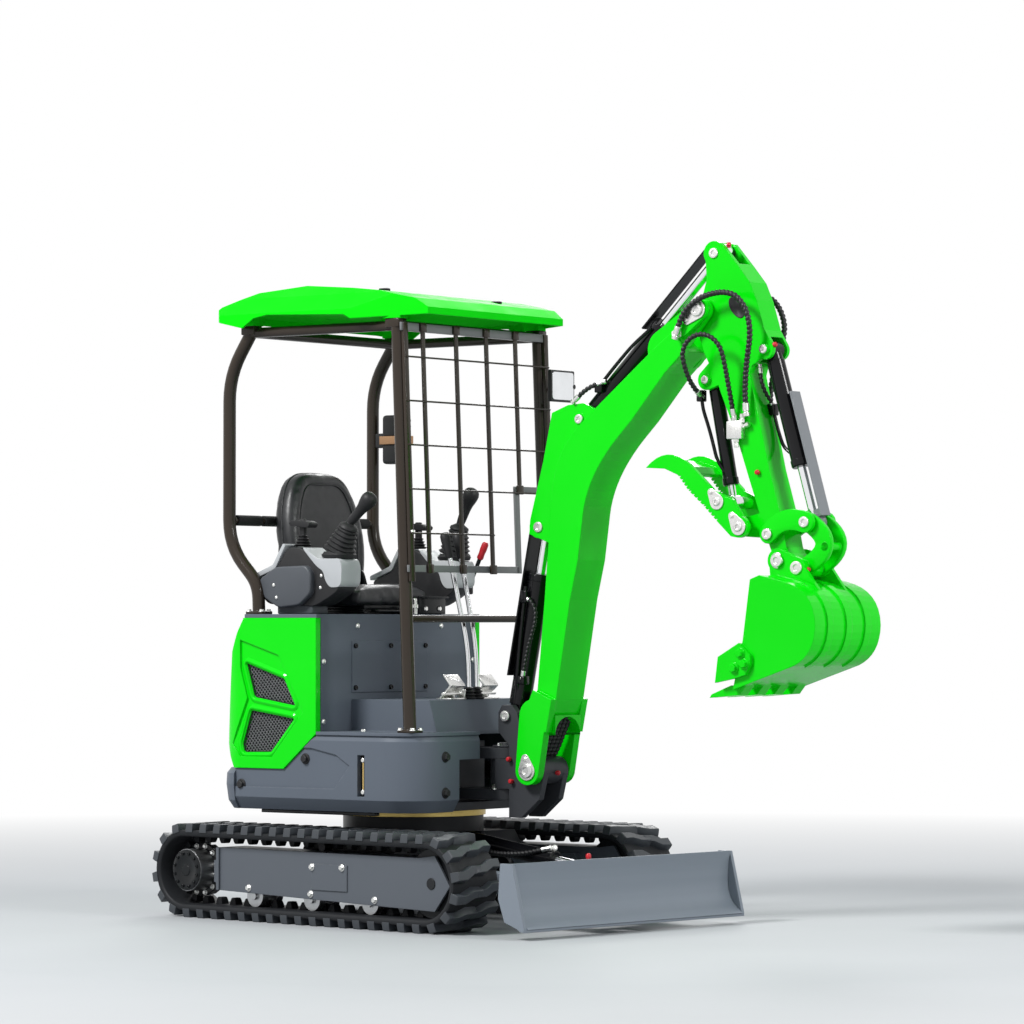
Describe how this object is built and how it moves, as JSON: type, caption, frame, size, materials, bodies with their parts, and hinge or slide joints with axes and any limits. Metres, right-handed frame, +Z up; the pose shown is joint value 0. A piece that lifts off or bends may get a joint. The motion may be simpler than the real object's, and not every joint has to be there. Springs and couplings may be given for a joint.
{
  "type": "mini excavator",
  "caption": "Compact tracked excavator with open canopy, swing boom, bucket with thumb, and a dozer blade.",
  "frame": {"origin": "centre of the bounding box on the ground", "axes": "+X forward along the tracks, +Y to the left, +Z up"},
  "size_m": [2.7329, 1.18, 2.4463],
  "materials": {
    "green_paint": "gloss",
    "charcoal_paint": "satin",
    "black_paint": "satin",
    "frame_paint": "satin",
    "blade_paint": "satin",
    "steel": "satin",
    "chrome": "polished",
    "zinc": "satin",
    "cast_iron": "rough",
    "rubber": "matte",
    "plastic": "matte",
    "seat_cover": "matte",
    "guard_grey": "satin"
  },
  "bodies": {
    "base": {"centre_frame": "frame_paint", "track_frame_l": "frame_paint", "track_frame_r": "frame_paint", "track_l": "rubber", "track_r": "rubber", "sprocket_l": "steel", "sprocket_r": "steel", "idler_l": "steel", "idler_r": "steel", "rollers_l": "steel", "rollers_r": "steel"},
    "house": {"slew_ring": "zinc", "deck": "frame_paint", "counterweight": "charcoal_paint", "skirt_l": "charcoal_paint", "skirt_r": "charcoal_paint", "cover_l": "green_paint", "cover_r": "green_paint", "vent_panels": "black_paint", "seat_box": "charcoal_paint", "floor": "charcoal_paint", "engine": "cast_iron", "seat": "seat_cover", "console_l": "plastic", "console_r": "plastic", "joysticks": "plastic", "travel_levers": "chrome", "canopy_frame": "black_paint", "canopy_roof": "green_paint", "front_guard": "guard_grey", "mirror": "plastic", "lamp_box": "plastic"},
    "bonnet": {"bonnet": "green_paint"},
    "swing_post": {"swing_post": "frame_paint"},
    "boom": {"boom": "green_paint"},
    "arm": {"arm": "green_paint"},
    "bucket": {"bucket": "green_paint"},
    "thumb": {"thumb": "green_paint"},
    "tip_link": {"tip_link": "green_paint"},
    "h_link": {"h_link": "green_paint"},
    "blade": {"blade": "blade_paint"},
    "boom_barrel": {"boom_barrel": "black_paint"},
    "boom_rod": {"boom_rod": "chrome"},
    "arm_barrel": {"arm_barrel": "black_paint"},
    "arm_rod": {"arm_rod": "chrome"},
    "bucket_barrel": {"bucket_barrel": "black_paint"},
    "bucket_rod": {"bucket_rod": "chrome"},
    "thumb_barrel": {"thumb_barrel": "black_paint"},
    "thumb_rod": {"thumb_rod": "chrome"},
    "blade_barrel": {"blade_barrel": "black_paint"},
    "blade_rod": {"blade_rod": "chrome"},
    "swing_barrel": {"swing_barrel": "black_paint"},
    "swing_rod": {"swing_rod": "chrome"}
  },
  "joints": [
    {"name": "slew", "type": "hinge", "parent": "base", "child": "house", "pos_m": [-0.577, 0, 0.385], "axis": [0, 0, 1], "continuous": true},
    {"name": "boom_swing", "type": "hinge", "parent": "house", "child": "swing_post", "pos_m": [-0.13941, 0.04599, 0.545], "axis": [0, 0, 1], "range_deg": [-55, 75]},
    {"name": "boom", "type": "hinge", "parent": "swing_post", "child": "boom", "pos_m": [0.03364, 0.06418, 0.561], "axis": [0.1045, -0.9945, 0], "range_deg": [-98, 8]},
    {"name": "arm", "type": "hinge", "parent": "boom", "child": "arm", "pos_m": [0.77257, 0.14184, 2.202], "axis": [-0.1045, 0.9945, 0], "range_deg": [-95, 25]},
    {"name": "bucket", "type": "hinge", "parent": "arm", "child": "bucket", "pos_m": [1.10374, 0.17665, 1.314], "axis": [0.1045, -0.9945, 0], "range_deg": [-90, 70]},
    {"name": "thumb", "type": "hinge", "parent": "arm", "child": "thumb", "pos_m": [0.95059, 0.16056, 1.433], "axis": [0.1045, -0.9945, 0], "range_deg": [0, 120]},
    {"name": "blade", "type": "hinge", "parent": "base", "child": "blade", "pos_m": [-0.247, 0, 0.19], "axis": [0, -1, 0], "range_deg": [-12, 18]},
    {"name": "bonnet", "type": "hinge", "parent": "house", "child": "bonnet", "pos_m": [-0.99271, -0.04369, 1.085], "axis": [-0.1045, 0.9945, 0], "range_deg": [0, 75]},
    {"name": "boom_barrel_tilt", "type": "hinge", "parent": "swing_post", "child": "boom_barrel", "pos_m": [-0.08968, 0.05122, 0.757], "axis": [0.1045, -0.9945, 0], "range_deg": [-100.36, 8.38]},
    {"name": "boom_rod_slide", "type": "slide", "parent": "boom_barrel", "child": "boom_rod", "axis": [0.1929, 0.0203, 0.981], "range_m": [-0.02954, 0.35061]},
    {"name": "arm_barrel_tilt", "type": "hinge", "parent": "boom", "child": "arm_barrel", "pos_m": [0.23055, 0.08488, 1.833], "axis": [0.1045, -0.9945, 0], "range_deg": [-2.92, 10.55]},
    {"name": "arm_rod_slide", "type": "slide", "parent": "arm_barrel", "child": "arm_rod", "axis": [0.7111, 0.0747, 0.6991], "range_m": [-0.28552, 0.07587]},
    {"name": "bucket_barrel_tilt", "type": "hinge", "parent": "arm", "child": "bucket_barrel", "pos_m": [1.02418, 0.16829, 2.055], "axis": [0.1045, -0.9945, 0], "range_deg": [-1.43, 1.16]},
    {"name": "bucket_rod_slide", "type": "slide", "parent": "bucket_barrel", "child": "bucket_rod", "axis": [0.278, 0.0292, -0.9601], "range_m": [-0.08896, 0.1141]},
    {"name": "thumb_barrel_tilt", "type": "hinge", "parent": "arm", "child": "thumb_barrel", "pos_m": [0.77853, 0.14247, 1.956], "axis": [0.1045, -0.9945, 0], "range_deg": [-2.14, 0.2]},
    {"name": "thumb_rod_slide", "type": "slide", "parent": "thumb_barrel", "child": "thumb_rod", "axis": [0.1846, 0.0194, -0.9826], "range_m": [-0.001, 0.22489]},
    {"name": "blade_barrel_tilt", "type": "hinge", "parent": "base", "child": "blade_barrel", "pos_m": [-0.281, 0, 0.3], "axis": [0, -1, 0], "range_deg": [-11.34, 16.91]},
    {"name": "blade_rod_slide", "type": "slide", "parent": "blade_barrel", "child": "blade_rod", "axis": [0.9902, 0, -0.1394], "range_m": [-0.03424, 0.02316]},
    {"name": "swing_barrel_tilt", "type": "hinge", "parent": "house", "child": "swing_barrel", "pos_m": [-0.65128, 0.32401, 0.545], "axis": [0, 0, 1], "range_deg": [-5.52, 4.1]},
    {"name": "swing_rod_slide", "type": "slide", "parent": "swing_barrel", "child": "swing_rod", "axis": [0.9712, -0.2382, 0], "range_m": [-0.12378, 0.09104]},
    {"name": "tip_link", "type": "hinge", "parent": "arm", "child": "tip_link", "pos_m": [1.04904, 0.1709, 1.407], "axis": [0.1045, -0.9945, 0], "range_deg": [-43.53, 33.9]},
    {"name": "h_link", "type": "hinge", "parent": "bucket", "child": "h_link", "pos_m": [1.18032, 0.1847, 1.288], "axis": [0.1045, -0.9945, 0], "range_deg": [-48.37, 62.14]}
  ],
  "couplings": [
    {"joint": "boom_barrel_tilt", "follows": "boom", "ratio": 1.022},
    {"joint": "boom_rod_slide", "follows": "boom", "m_per_rad": -0.2044},
    {"joint": "arm_barrel_tilt", "follows": "arm", "ratio": -0.1089},
    {"joint": "arm_rod_slide", "follows": "arm", "m_per_rad": 0.1716},
    {"joint": "bucket_barrel_tilt", "follows": "bucket", "ratio": 0.0137},
    {"joint": "bucket_rod_slide", "follows": "bucket", "m_per_rad": -0.072},
    {"joint": "thumb_barrel_tilt", "follows": "thumb", "ratio": -0.0162},
    {"joint": "thumb_rod_slide", "follows": "thumb", "m_per_rad": 0.1069},
    {"joint": "blade_barrel_tilt", "follows": "blade", "ratio": 0.9283},
    {"joint": "blade_rod_slide", "follows": "blade", "m_per_rad": -0.1058},
    {"joint": "swing_barrel_tilt", "follows": "boom_swing", "ratio": -0.0709},
    {"joint": "swing_rod_slide", "follows": "boom_swing", "m_per_rad": -0.0938},
    {"joint": "tip_link", "follows": "bucket", "ratio": 0.4814},
    {"joint": "h_link", "follows": "bucket", "ratio": -0.6882}
  ]
}
